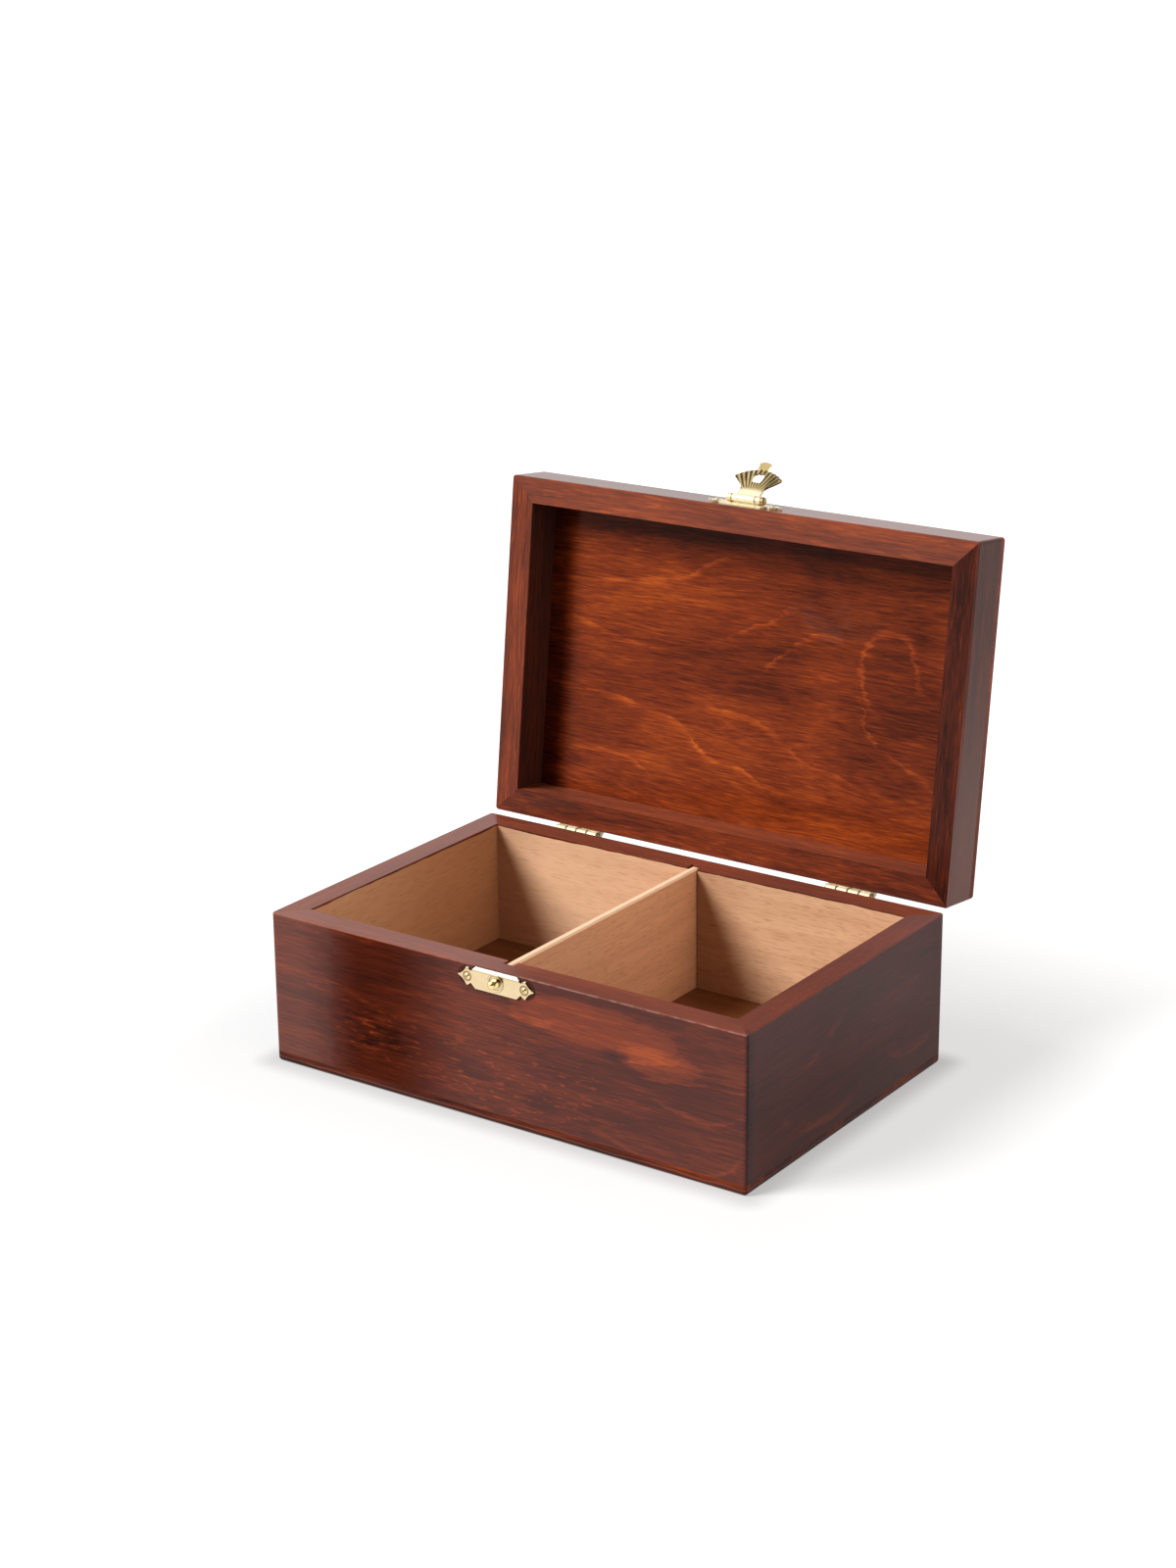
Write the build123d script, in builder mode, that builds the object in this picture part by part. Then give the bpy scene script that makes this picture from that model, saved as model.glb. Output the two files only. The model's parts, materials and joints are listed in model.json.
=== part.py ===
from build123d import *
from math import asin, atan2, cos, degrees, hypot, radians, sin
import os

os.makedirs("parts", exist_ok=True)

# A chess box with a hinged lid: two mitred wooden frames closed by thin panels, joined at the
# back by two brass stop hinges, and shut at the front by a brass shell hasp over a catch knob.
# Millimetres. The origin is the centre of the underside, X to the right, Y to the back, Z up.
# The model stands as it is left on a table: lid open against its stops, hasp thrown back.

# --- box body ---------------------------------------------------------------------------------
width = 200.0               # outside, left to right
depth = 131.5               # outside, front to back
base_height = 57.4          # underside to rim
wall = 9.8                  # board stock of the walls
bottom_thickness = 4.0      # panel glued under the walls
floor_thickness = 6.0       # board laid inside, on the bottom panel
floor_clearance = 0.1       # floor board to walls
corner_round = 1.3          # outer upright corners
bottom_round = 1.6          # lower edge of the bottom panel
rim_easing = 0.4            # worn outer edges of both rims

# --- divider ----------------------------------------------------------------------------------
divider_thickness = 3.5
divider_drop = 0.8          # top of the divider below the rim
dado_depth = 3.2            # housing cut into the front and back walls
dado_clearance = 0.4        # divider to each side of its housing
dado_end_clearance = 0.2    # divider to the end of its housing

# --- lid --------------------------------------------------------------------------------------
lid_height = 20.2           # rim to top of the closed lid
rail = 9.8                  # board stock of the lid frame
lid_panel_thickness = 4.0
lid_round = 1.5             # upper edge of the lid panel
lid_gap = 0.2               # between the rims of the closed box
open_angle = 96.7           # closed to the hinge stops

# --- hinges -----------------------------------------------------------------------------------
hinge_length = 19.0
hinge_inset = 30.5          # side of the box to the end of the hinge
hinge_knuckles = 4
knuckle_radius = 1.4
knuckle_spacing = 0.3       # end play between neighbouring knuckles
knuckle_standoff = 0.15     # knuckle to the wooden back faces
hinge_drop = 0.7            # rim of the box to the hinge axis
hinge_pin_radius = 0.7
pin_clearance = 0.05        # radial, in every knuckle
leaf_height = 9.2           # hinge axis to the edge of a leaf
leaf_thickness = 0.8
leaf_round = 1.2
stop_clearance = 0.05       # each stop shoulder to the plane where they meet
stop_width = 1.1            # contact width of a stop shoulder
screw_spread = 10.5         # between the two screws of a leaf
screw_drop = 6.9            # hinge axis to the screws
screw_head_radius = 1.5
screw_shank_radius = 0.8
screw_length = 7.5
screw_slot = 0.4
fastener_clearance = 0.05   # screws, nails and rivet in their holes

# --- catch and clasp plates -------------------------------------------------------------------
plate_length = 33.2         # to the points of its ends, before they are rounded
plate_height = 7.9
plate_body = 20.7           # length of the plate between its ornamental ends
plate_thickness = 0.7
plate_corner = 1.65         # cut corners of the body
plate_neck = 4.4            # height of the waist between body and end
plate_lobe = 6.6            # height across the side lobes of an end
plate_lobe_reach = 12.4     # centre of the plate to its side lobes
plate_waist = 0.3           # from the body to its narrow waist
plate_swell = 0.6           # how far a lobe bulges beyond a straight flank
plate_tip_reach = 0.3       # from side lobe to tip, where the end narrows, as a share
plate_tip_height = 0.22     # half height there, as a share of the lobe height
plate_tip_round = 0.2
bevel_height = 1.1          # bevelled edge beside the rim
bevel_depth = 0.4
catch_drop = 4.4            # rim of the box to the centre of the catch plate
clasp_rise = 7.0            # rim of the lid to the centre of the clasp plate
nail_spread = 24.0          # between the two nails of a plate
nail_head_radius = 1.1
nail_head_height = 0.6
nail_shank_radius = 0.55
nail_length = 8.0

# --- catch knob -------------------------------------------------------------------------------
knob_ring_radius = 3.3      # embossed ring round the knob
knob_ring_width = 0.7
knob_flange_radius = 1.9
knob_flange_height = 0.5
knob_neck_radius = 1.0
knob_head_radius = 1.4
knob_head_height = 1.3
knob_projection = 4.1       # wooden face to the tip of the knob
rivet_radius = 0.9
rivet_length = 6.0

# --- shell hasp -------------------------------------------------------------------------------
clasp_pivot_rise = 6.4      # rim of the lid to the hasp's pivot
clasp_knuckle_radius = 1.5
clasp_pin_radius = 0.7
clasp_lift = 0.15           # hasp knuckle to the clasp plate
end_knuckle = 2.0           # length of each outer knuckle
neck_width = 9.8            # neck of the hasp and its knuckle
hasp_thickness = 0.6
fan_radius = 14.3           # pivot to the centres of the scallops
flutes = 11
flute_pitch = 7.8           # degrees from one flute to the next
flute_start = 5.2           # pivot to where the flutes begin
flank_start = 2.5           # pivot to where the fan's flanks would meet
flute_relief = 0.4          # height of a flute at the edge
flute_tip = 0.05            # radius where a flute begins
neck_fillet = 3.5           # where the neck runs out into the fan
hasp_hole_width = 4.2
hasp_hole_height = 4.2
hasp_hole_round = 1.2
tab_root = 5.1              # width of the finger tab where it leaves the fan
tab_waist = 4.2
tab_width = 5.2
tab_top = 18.7              # pivot to the end of the finger tab
tab_shoulder = 0.8          # from the waist to the fan's edge, and from the flare to the end
hasp_angle = 136.0          # hanging closed to where it stands thrown back

# --- values that follow -----------------------------------------------------------------------
floor_top = bottom_thickness + floor_thickness
lid_rim = base_height + lid_gap
rail_height = lid_height - lid_panel_thickness
hinge_y = depth / 2 + knuckle_standoff + knuckle_radius
hinge_z = base_height - hinge_drop
hinge_centre = width / 2 - hinge_inset - hinge_length / 2
pivot_out = plate_thickness + clasp_lift + clasp_knuckle_radius
pivot_y = -depth / 2 - pivot_out
pivot_z = lid_rim + clasp_pivot_rise
catch_z = base_height - catch_drop
clasp_z = lid_rim + clasp_rise


def turned(y, z, angle):
    """The movement of opening by an angle about a line along X through y, z."""
    return Pos(0, y, z) * Rot(-angle, 0, 0) * Pos(0, -y, -z)


def carried(movement, plane):
    """A plane of the closed box, taken to where the movement leaves it."""
    return Plane(movement * plane.location)


# Pieces are drawn as they lie with the box shut. These carry them to where they stand open.
in_place = Location()
lid_open = turned(hinge_y, hinge_z, open_angle)
hasp_back = lid_open * turned(pivot_y, pivot_z, hasp_angle)


# --- mitred frames and panels -----------------------------------------------------------------
ridge = (width - depth) / 2
corners = {
    "front": [(-width / 2, -depth / 2), (width / 2, -depth / 2), (ridge, 0), (-ridge, 0)],
    "back": [(width / 2, depth / 2), (-width / 2, depth / 2), (-ridge, 0), (ridge, 0)],
    "left": [(-width / 2, depth / 2), (-width / 2, -depth / 2), (-ridge, 0)],
    "right": [(width / 2, -depth / 2), (width / 2, depth / 2), (ridge, 0)],
}


def mitred_board(level, height, stock, side, rim):
    """One board of a frame that stands on a plane, cut at 45 degrees where two boards meet.

    rim is -1 where the frame's rim is its lowest face and 1 where it is the highest.
    """
    with BuildPart() as board:
        with BuildSketch(level):
            RectangleRounded(width, depth, corner_round)
            Rectangle(width - 2 * stock, depth - 2 * stock, mode=Mode.SUBTRACT)
        extrude(amount=height)
        rim_face = board.faces().sort_by(Axis(level.origin, level.z_dir * rim))[-1]
        fillet(rim_face.outer_wire().edges(), rim_easing)
        with BuildSketch(level):
            Polygon(*corners[side], align=None)
        extrude(amount=height, mode=Mode.INTERSECT)
    return board.part


def edge_rounded_panel(level, thickness, radius, side):
    """A thin panel over the whole plan, with its outer edge rounded on one face."""
    with BuildPart() as panel:
        with BuildSketch(level):
            RectangleRounded(width, depth, corner_round)
        extrude(amount=thickness)
        outer_face = panel.faces().sort_by(Axis(level.origin, level.z_dir * side))[-1]
        fillet(outer_face.outer_wire().edges(), radius)
    return panel.part


# --- fixing planes, drawn on the closed box ---------------------------------------------------
catch_face = Plane((0, -depth / 2, catch_z), x_dir=(1, 0, 0), z_dir=(0, -1, 0))
closed_clasp_face = Plane((0, -depth / 2, clasp_z), x_dir=(-1, 0, 0), z_dir=(0, -1, 0))
clasp_face = carried(lid_open, closed_clasp_face)
box_back_face = Plane((0, depth / 2, hinge_z), x_dir=(1, 0, 0), z_dir=(0, 1, 0))
closed_lid_back = Plane((0, depth / 2, hinge_z), x_dir=(-1, 0, 0), z_dir=(0, 1, 0))
lid_back_face = carried(lid_open, closed_lid_back)
nail_places = [(-nail_spread / 2, 0), (nail_spread / 2, 0)]
screw_places = [
    (side * hinge_centre + end * screw_spread / 2, screw_drop)
    for side in (-1, 1)
    for end in (-1, 1)
]

# --- walls of the box -------------------------------------------------------------------------
wall_base = Plane.XY.offset(bottom_thickness)
wall_height = base_height - bottom_thickness
dado_width = divider_thickness + 2 * dado_clearance
dado_length = depth - 2 * wall + 2 * dado_depth

with BuildPart() as front_wall:
    add(mitred_board(wall_base, wall_height, wall, "front", 1))
    with BuildSketch(Plane.XY.offset(floor_top)):
        Rectangle(dado_width, dado_length)
    extrude(amount=base_height, mode=Mode.SUBTRACT)
    with Locations(catch_face):
        Hole(rivet_radius + fastener_clearance, rivet_length + fastener_clearance)
        with Locations(*nail_places):
            Hole(nail_shank_radius + fastener_clearance, nail_length)
front_wall.part.label = "front_wall"
export_step(front_wall.part, "parts/front_wall.step")

with BuildPart() as back_wall:
    add(mitred_board(wall_base, wall_height, wall, "back", 1))
    with BuildSketch(Plane.XY.offset(floor_top)):
        Rectangle(dado_width, dado_length)
    extrude(amount=base_height, mode=Mode.SUBTRACT)
    with Locations(box_back_face):
        with Locations(*screw_places):
            Hole(screw_shank_radius + fastener_clearance, screw_length)
back_wall.part.label = "back_wall"
export_step(back_wall.part, "parts/back_wall.step")

for side in ("left", "right"):
    with BuildPart() as side_wall:
        add(mitred_board(wall_base, wall_height, wall, side, 1))
    side_wall.part.label = f"{side}_wall"
    export_step(side_wall.part, f"parts/{side}_wall.step")

with BuildPart() as bottom_panel:
    add(edge_rounded_panel(Plane.XY, bottom_thickness, bottom_round, -1))
bottom_panel.part.label = "bottom_panel"
export_step(bottom_panel.part, "parts/bottom_panel.step")

# --- floor and divider ------------------------------------------------------------------------
with BuildPart() as floor_board:
    with BuildSketch(Plane.XY.offset(bottom_thickness)):
        Rectangle(width - 2 * (wall + floor_clearance), depth - 2 * (wall + floor_clearance))
    extrude(amount=floor_thickness)
floor_board.part.label = "floor_board"
export_step(floor_board.part, "parts/floor_board.step")

with BuildPart() as divider:
    with BuildSketch(Plane.XY.offset(floor_top)):
        Rectangle(divider_thickness, dado_length - 2 * dado_end_clearance)
    extrude(amount=base_height - divider_drop - floor_top)
divider.part.label = "divider"
export_step(divider.part, "parts/divider.step")

# --- lid --------------------------------------------------------------------------------------
rail_base = carried(lid_open, Plane.XY.offset(lid_rim))

with BuildPart() as lid_front_rail:
    add(mitred_board(rail_base, rail_height, rail, "front", -1))
    with Locations(clasp_face):
        with Locations(*nail_places):
            Hole(nail_shank_radius + fastener_clearance, nail_length)
lid_front_rail.part.label = "lid_front_rail"
export_step(lid_front_rail.part, "parts/lid_front_rail.step")

with BuildPart() as lid_back_rail:
    add(mitred_board(rail_base, rail_height, rail, "back", -1))
    with Locations(lid_back_face):
        with Locations(*screw_places):
            Hole(screw_shank_radius + fastener_clearance, screw_length)
lid_back_rail.part.label = "lid_back_rail"
export_step(lid_back_rail.part, "parts/lid_back_rail.step")

for side in ("left", "right"):
    with BuildPart() as lid_side_rail:
        add(mitred_board(rail_base, rail_height, rail, side, -1))
    lid_side_rail.part.label = f"lid_{side}_rail"
    export_step(lid_side_rail.part, f"parts/lid_{side}_rail.step")

with BuildPart() as lid_top_panel:
    panel_base = rail_base.offset(rail_height)
    add(edge_rounded_panel(panel_base, lid_panel_thickness, lid_round, 1))
lid_top_panel.part.label = "lid_top_panel"
export_step(lid_top_panel.part, "parts/lid_top_panel.step")

# --- hinges -----------------------------------------------------------------------------------
knuckle_pitch = hinge_length / hinge_knuckles
knuckle_clear = knuckle_radius + stop_clearance + knuckle_standoff
stop_angle = (180 - open_angle) / 2


def hinge_leaf(face, carry, side, up, first):
    """A leaf with its own knuckles and the shoulder that stops the lid.

    up is -1 for the leaf on the box and 1 for the leaf on the lid; first is the number of its
    first knuckle, counted from the left.
    """
    start = side * hinge_centre - hinge_length / 2
    centre = -up * side * hinge_centre
    plate_y = depth / 2 + leaf_thickness
    inner = knuckle_clear + knuckle_standoff
    outer = inner + stop_width
    away = Vector(sin(radians(stop_angle)), up * cos(radians(stop_angle)))
    aside = Vector(-cos(radians(stop_angle)), up * sin(radians(stop_angle))) * stop_clearance
    axis = Vector(hinge_y, hinge_z)
    with BuildPart() as leaf:
        with BuildSketch(face) as plate:
            with Locations((centre, (leaf_height + knuckle_clear) / 2)):
                Rectangle(hinge_length, leaf_height - knuckle_clear)
            fillet(plate.vertices().group_by(Axis.Y)[-1], leaf_round)
        extrude(amount=leaf_thickness)
        with BuildSketch(carried(carry, Plane.YZ.offset(start))):
            with BuildLine():
                Polyline(
                    (plate_y, hinge_z + up * inner),
                    axis + away * inner + aside,
                    axis + away * outer + aside,
                    (plate_y, hinge_z + up * 2 * outer * cos(radians(stop_angle))),
                    (depth / 2, hinge_z + up * 2 * outer * cos(radians(stop_angle))),
                    (depth / 2, hinge_z + up * inner),
                    close=True,
                )
            make_face()
        extrude(amount=hinge_length)
        for number in range(first, hinge_knuckles, 2):
            offset = start + number * knuckle_pitch + knuckle_spacing / 2
            with BuildSketch(carried(carry, Plane.YZ.offset(offset))):
                with Locations((hinge_y, hinge_z)):
                    Circle(knuckle_radius)
                with Locations((plate_y - leaf_thickness / 2, hinge_z + up * inner / 2)):
                    Rectangle(leaf_thickness, inner)
                with Locations((hinge_y, hinge_z)):
                    Circle(hinge_pin_radius + pin_clearance, mode=Mode.SUBTRACT)
            extrude(amount=knuckle_pitch - knuckle_spacing)
        with Locations(face.offset(leaf_thickness)):
            with Locations(*[(centre + end * screw_spread / 2, screw_drop) for end in (-1, 1)]):
                CounterSinkHole(
                    screw_shank_radius + fastener_clearance,
                    screw_head_radius + fastener_clearance,
                    counter_sink_angle=90,
                )
    return leaf.part


for side, name in ((-1, "left"), (1, "right")):
    with BuildPart() as box_leaf:
        add(hinge_leaf(box_back_face, in_place, side, -1, 0))
    box_leaf.part.label = f"{name}_hinge_box_leaf"
    export_step(box_leaf.part, f"parts/{name}_hinge_box_leaf.step")

    with BuildPart() as lid_leaf:
        add(hinge_leaf(lid_back_face, lid_open, side, 1, 1))
    lid_leaf.part.label = f"{name}_hinge_lid_leaf"
    export_step(lid_leaf.part, f"parts/{name}_hinge_lid_leaf.step")

    with BuildPart() as hinge_pin:
        with BuildSketch(Plane.YZ.offset(side * hinge_centre)):
            with Locations((hinge_y, hinge_z)):
                Circle(hinge_pin_radius)
        extrude(amount=hinge_length / 2, both=True)
        fillet(hinge_pin.edges().filter_by(GeomType.CIRCLE), hinge_pin_radius / 2)
    hinge_pin.part.label = f"{name}_hinge_pin"
    export_step(hinge_pin.part, f"parts/{name}_hinge_pin.step")

# --- fasteners, each drawn with the top of its seat at z = 0 ----------------------------------
with BuildPart() as screw:
    with BuildSketch(Plane.XZ):
        with BuildLine():
            Polyline(
                (0, 0),
                (screw_head_radius, 0),
                (screw_shank_radius, screw_shank_radius - screw_head_radius),
                (screw_shank_radius, 2 * screw_shank_radius - screw_length),
                (0, -screw_length),
                close=True,
            )
        make_face()
    revolve(axis=Axis.Z)
    with BuildSketch():
        Rectangle(2 * screw_head_radius, screw_slot)
    extrude(amount=-screw_slot, mode=Mode.SUBTRACT)

cap_radius = (nail_head_radius**2 + nail_head_height**2) / (2 * nail_head_height)

with BuildPart() as nail:
    with BuildSketch(Plane.XZ):
        with BuildLine():
            dome = RadiusArc((nail_head_radius, 0), (0, nail_head_height), -cap_radius)
            Polyline(
                dome @ 1,
                (0, -nail_length),
                (nail_shank_radius, 2 * nail_shank_radius - nail_length),
                (nail_shank_radius, 0),
                dome @ 0,
            )
        make_face()
    revolve(axis=Axis.Z)

for face, node in ((box_back_face, "hinge_screws_box"), (lid_back_face, "hinge_screws_lid")):
    with BuildPart() as screws:
        with Locations(face.offset(leaf_thickness)):
            with Locations(*screw_places):
                add(screw.part)
    screws.part.label = node
    export_step(screws.part, f"parts/{node}.step")

for face, node in ((catch_face, "catch_nails"), (clasp_face, "clasp_nails")):
    with BuildPart() as nails:
        with Locations(face.offset(plate_thickness)):
            with Locations(*nail_places):
                add(nail.part)
    nails.part.label = node
    export_step(nails.part, f"parts/{node}.step")

# --- catch and clasp plates -------------------------------------------------------------------


def ornamental_plate(face):
    """A stamped plate with three-lobed ends, bevelled along the edge on its +Y side."""
    body = plate_body / 2
    end = plate_length / 2
    with BuildPart() as plate:
        with BuildSketch(face) as outline:
            with BuildLine():
                neck = Polyline(
                    (0, 0),
                    (0, plate_height / 2),
                    (body - plate_corner, plate_height / 2),
                    (body, plate_height / 2 - plate_corner),
                    (body + plate_waist, plate_neck / 2),
                )
                lobe = ThreePointArc(
                    neck @ 1,
                    (body + plate_waist + plate_swell, (plate_neck + plate_lobe) / 4),
                    (plate_lobe_reach, plate_lobe / 2),
                )
                narrowing = plate_lobe_reach + plate_tip_reach * (end - plate_lobe_reach)
                ThreePointArc(lobe @ 1, (narrowing, plate_tip_height * plate_lobe), (end, 0))
                Line((end, 0), (0, 0))
            make_face()
            mirror(about=Plane.YZ)
            mirror(about=Plane.XZ)
            tips = outline.vertices().filter_by(lambda v: abs(v.X) > body + plate_corner)
            fillet(tips, plate_tip_round)
            with Locations(*nail_places):
                Circle(nail_shank_radius + fastener_clearance, mode=Mode.SUBTRACT)
        extrude(amount=plate_thickness)
        front = plate.faces().sort_by(Axis(face.origin, face.z_dir))[-1]
        rim_edge = front.edges().sort_by(Axis(face.origin, face.y_dir))[-1]
        chamfer(rim_edge, bevel_height, bevel_depth, reference=front)
    return plate.part


with BuildPart() as catch_plate:
    add(ornamental_plate(catch_face))
    with BuildSketch(catch_face.offset(plate_thickness)):
        Circle(knob_ring_radius)
        Circle(knob_ring_radius - knob_ring_width, mode=Mode.SUBTRACT)
    extrude(amount=knob_ring_width / 2)
    ring_top = catch_plate.faces().sort_by(Axis(catch_face.origin, catch_face.z_dir))[-1]
    fillet(ring_top.edges(), knob_ring_width / 3)
    with Locations(catch_face):
        Cylinder(rivet_radius + fastener_clearance, 4 * plate_thickness, mode=Mode.SUBTRACT)
catch_plate.part.label = "catch_plate"
export_step(catch_plate.part, "parts/catch_plate.step")

# --- catch knob -------------------------------------------------------------------------------
with BuildPart() as catch_knob:
    with BuildSketch(Plane(catch_face.origin, x_dir=catch_face.x_dir, z_dir=-catch_face.y_dir)):
        head_base = knob_projection - knob_head_height
        dome_height = knob_head_height / 2
        dome_radius = (knob_head_radius**2 + dome_height**2) / (2 * dome_height)
        with BuildLine():
            dome = RadiusArc(
                (knob_head_radius, knob_projection - dome_height),
                (0, knob_projection),
                -dome_radius,
            )
            Polyline(
                dome @ 1,
                (0, -rivet_length),
                (rivet_radius, -rivet_length),
                (rivet_radius, plate_thickness),
                (knob_flange_radius, plate_thickness),
                (knob_flange_radius, plate_thickness + knob_flange_height),
                (knob_neck_radius, plate_thickness + 2 * knob_flange_height),
                (knob_neck_radius, head_base),
                (knob_head_radius, head_base + knob_head_radius - knob_neck_radius),
                dome @ 0,
            )
        make_face()
    revolve(axis=Axis(catch_face.origin, catch_face.z_dir))
catch_knob.part.label = "catch_knob"
export_step(catch_knob.part, "parts/catch_knob.step")

# --- clasp plate with its two knuckles --------------------------------------------------------
barrel = neck_width + 2 * (end_knuckle + knuckle_spacing)

with BuildPart() as clasp_plate:
    add(ornamental_plate(clasp_face))
    foot = pivot_out - plate_thickness
    for start in (-barrel / 2, barrel / 2 - end_knuckle):
        with BuildSketch(carried(lid_open, Plane.YZ.offset(start))):
            with Locations((pivot_y, pivot_z)):
                Circle(clasp_knuckle_radius)
            with Locations((pivot_y + foot / 2, pivot_z + clasp_knuckle_radius - hasp_thickness / 2)):
                Rectangle(foot, hasp_thickness)
            with Locations((pivot_y, pivot_z)):
                Circle(clasp_pin_radius + pin_clearance, mode=Mode.SUBTRACT)
        extrude(amount=end_knuckle)
clasp_plate.part.label = "clasp_plate"
export_step(clasp_plate.part, "parts/clasp_plate.step")

with BuildPart() as clasp_pin:
    with BuildSketch(carried(lid_open, Plane.YZ.offset(-barrel / 2))):
        with Locations((pivot_y, pivot_z)):
            Circle(clasp_pin_radius)
    extrude(amount=barrel + knuckle_spacing)
    with BuildSketch(carried(lid_open, Plane.YZ.offset(barrel / 2 + knuckle_spacing))):
        with Locations((pivot_y, pivot_z)):
            Circle(clasp_knuckle_radius)
    extrude(amount=clasp_knuckle_radius)
    fillet(clasp_pin.edges().sort_by(Axis.X)[-1], clasp_knuckle_radius / 2)
clasp_pin.part.label = "clasp_pin"
export_step(clasp_pin.part, "parts/clasp_pin.step")

# --- shell hasp -------------------------------------------------------------------------------
# Its own plane lies through the pivot, outer side up, with +Y down from the pivot to the tab.
closed_hasp_plane = Plane((0, pivot_y, pivot_z), x_dir=(-1, 0, 0), z_dir=(0, -1, 0))
hasp_plane = carried(hasp_back, closed_hasp_plane)
inner_side = hasp_plane.offset(clasp_knuckle_radius - hasp_thickness)
outer_side = hasp_plane.offset(clasp_knuckle_radius)
fan_angle = (flutes - 1) * flute_pitch
fan_start = 90 - fan_angle / 2
scallop = fan_radius * sin(radians(flute_pitch / 2))
hole_distance = catch_drop + lid_gap + clasp_pivot_rise
flute_length = fan_radius + scallop - flute_start
flute_width = 2 * (fan_radius + scallop) * sin(radians(flute_pitch / 2))
flute_radius = ((flute_width / 2) ** 2 + flute_relief**2) / (2 * flute_relief)

# The flanks run from one point on the middle line and touch the outermost scallops.
tip_x = fan_radius * sin(radians(fan_angle / 2))
tip_y = fan_radius * cos(radians(fan_angle / 2)) - flank_start
edge_angle = atan2(tip_x, tip_y) + asin(scallop / hypot(tip_x, tip_y))
edge_x = 2 * fan_radius * sin(edge_angle)
edge_y = flank_start + 2 * fan_radius * cos(edge_angle)

with BuildSketch(Plane.XY) as shell:
    Circle(fan_radius)
    Polygon(
        (0, flank_start),
        (edge_x, edge_y),
        (-edge_x, edge_y),
        align=None,
        mode=Mode.INTERSECT,
    )
    with PolarLocations(fan_radius, flutes, fan_start, fan_angle, endpoint=True):
        Circle(scallop)
    with Locations((0, flute_start)):
        Rectangle(neck_width, 2 * flute_start)
    flanks = shell.vertices().filter_by(lambda v: v.Y > 0).group_by(SortBy.DISTANCE)[0]
    fillet(flanks, neck_fillet)

with BuildSketch(Plane.XY) as tab:
    with BuildLine():
        side_line = Spline(
            (tab_root / 2, fan_radius - scallop),
            (tab_waist / 2, fan_radius + scallop + tab_shoulder),
            (tab_width / 2, tab_top - tab_shoulder),
        )
        ThreePointArc(side_line @ 1, (0, tab_top), (-tab_width / 2, tab_top - tab_shoulder))
        mirror(side_line, about=Plane.YZ)
        Line((-tab_root / 2, fan_radius - scallop), side_line @ 0)
    make_face()

# A flute is the crest of a slender cone that sinks from its tip into the sheet. The same cones,
# one thickness lower, hollow the inner side, as a stamping does.
flute_tilt = degrees(atan2(flute_radius - flute_relief, flute_length))

with BuildPart() as relief:
    with Locations(outer_side):
        with PolarLocations(flute_start, flutes, fan_start, fan_angle, endpoint=True):
            Cone(
                flute_tip,
                flute_radius,
                flute_length,
                rotation=(0, 90 + flute_tilt, 0),
                align=(Align.CENTER, Align.CENTER, Align.MIN),
            )
    split(bisect_by=outer_side, keep=Keep.TOP)
    with BuildSketch(outer_side):
        add(shell.sketch)
    extrude(amount=2 * flute_relief, mode=Mode.INTERSECT)

with BuildPart() as shell_hasp:
    with BuildSketch(inner_side):
        add(shell.sketch)
        add(tab.sketch)
    extrude(amount=hasp_thickness)
    add(relief.part)
    hollows = relief.part.moved(Location(outer_side.z_dir * -hasp_thickness))
    add(hollows, mode=Mode.SUBTRACT)
    with BuildSketch(hasp_plane):
        with Locations((0, hole_distance)):
            RectangleRounded(hasp_hole_width, hasp_hole_height, hasp_hole_round)
    extrude(amount=2 * clasp_knuckle_radius, mode=Mode.SUBTRACT)
    with BuildSketch(carried(hasp_back, Plane.YZ.offset(-neck_width / 2))):
        with Locations((pivot_y, pivot_z)):
            Circle(clasp_knuckle_radius)
            Circle(clasp_pin_radius + pin_clearance, mode=Mode.SUBTRACT)
    extrude(amount=neck_width)
shell_hasp.part.label = "shell_hasp"
export_step(shell_hasp.part, "parts/shell_hasp.step")
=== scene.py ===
import bpy
import json
import math
from mathutils import Matrix, Vector


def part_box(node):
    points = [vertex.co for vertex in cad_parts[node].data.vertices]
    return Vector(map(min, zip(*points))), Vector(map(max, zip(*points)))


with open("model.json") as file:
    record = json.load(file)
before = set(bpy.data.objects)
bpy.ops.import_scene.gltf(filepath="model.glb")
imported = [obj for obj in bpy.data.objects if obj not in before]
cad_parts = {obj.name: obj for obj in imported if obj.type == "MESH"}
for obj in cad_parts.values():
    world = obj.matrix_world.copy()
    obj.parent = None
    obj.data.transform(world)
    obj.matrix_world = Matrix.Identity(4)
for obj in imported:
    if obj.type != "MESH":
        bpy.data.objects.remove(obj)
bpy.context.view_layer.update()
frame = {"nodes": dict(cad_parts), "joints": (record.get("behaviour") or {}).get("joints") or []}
nodes = frame["nodes"]
joints = {joint["name"]: joint for joint in frame["joints"]}

# A chess box with a hinged lid: stained and lacquered outside and in the lid, bare beech inside
# the box, polished brass fittings. Camera, floor and lamps are placed in metres. The materials
# work in millimetres, in the same frame.

# --- measures read from the frame, in millimetres and degrees ---------------------------------
METRE = 1000.0
OPEN_ANGLE = -joints["lid_hinge"]["range_deg"][0]
HASP_TRAVEL = -joints["hasp_pivot"]["range_deg"][0]
HASP_TILT = 270.0 - OPEN_ANGLE - HASP_TRAVEL    # from level to the hasp, thrown back


def corners(name, turn=0.0):
    """A node's lowest and highest corners, in axes turned by some degrees about X."""
    turned = Matrix.Rotation(math.radians(turn), 3, "X")
    places = [turned @ vertex.co * METRE for vertex in nodes[name].data.vertices]
    return [[pick(place[axis] for place in places) for axis in range(3)] for pick in (min, max)]


def joint_place(name, turn=0.0):
    """A joint's place, in axes turned by some degrees about X."""
    return Matrix.Rotation(math.radians(turn), 3, "X") @ Vector(joints[name]["pos_m"]) * METRE


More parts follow.
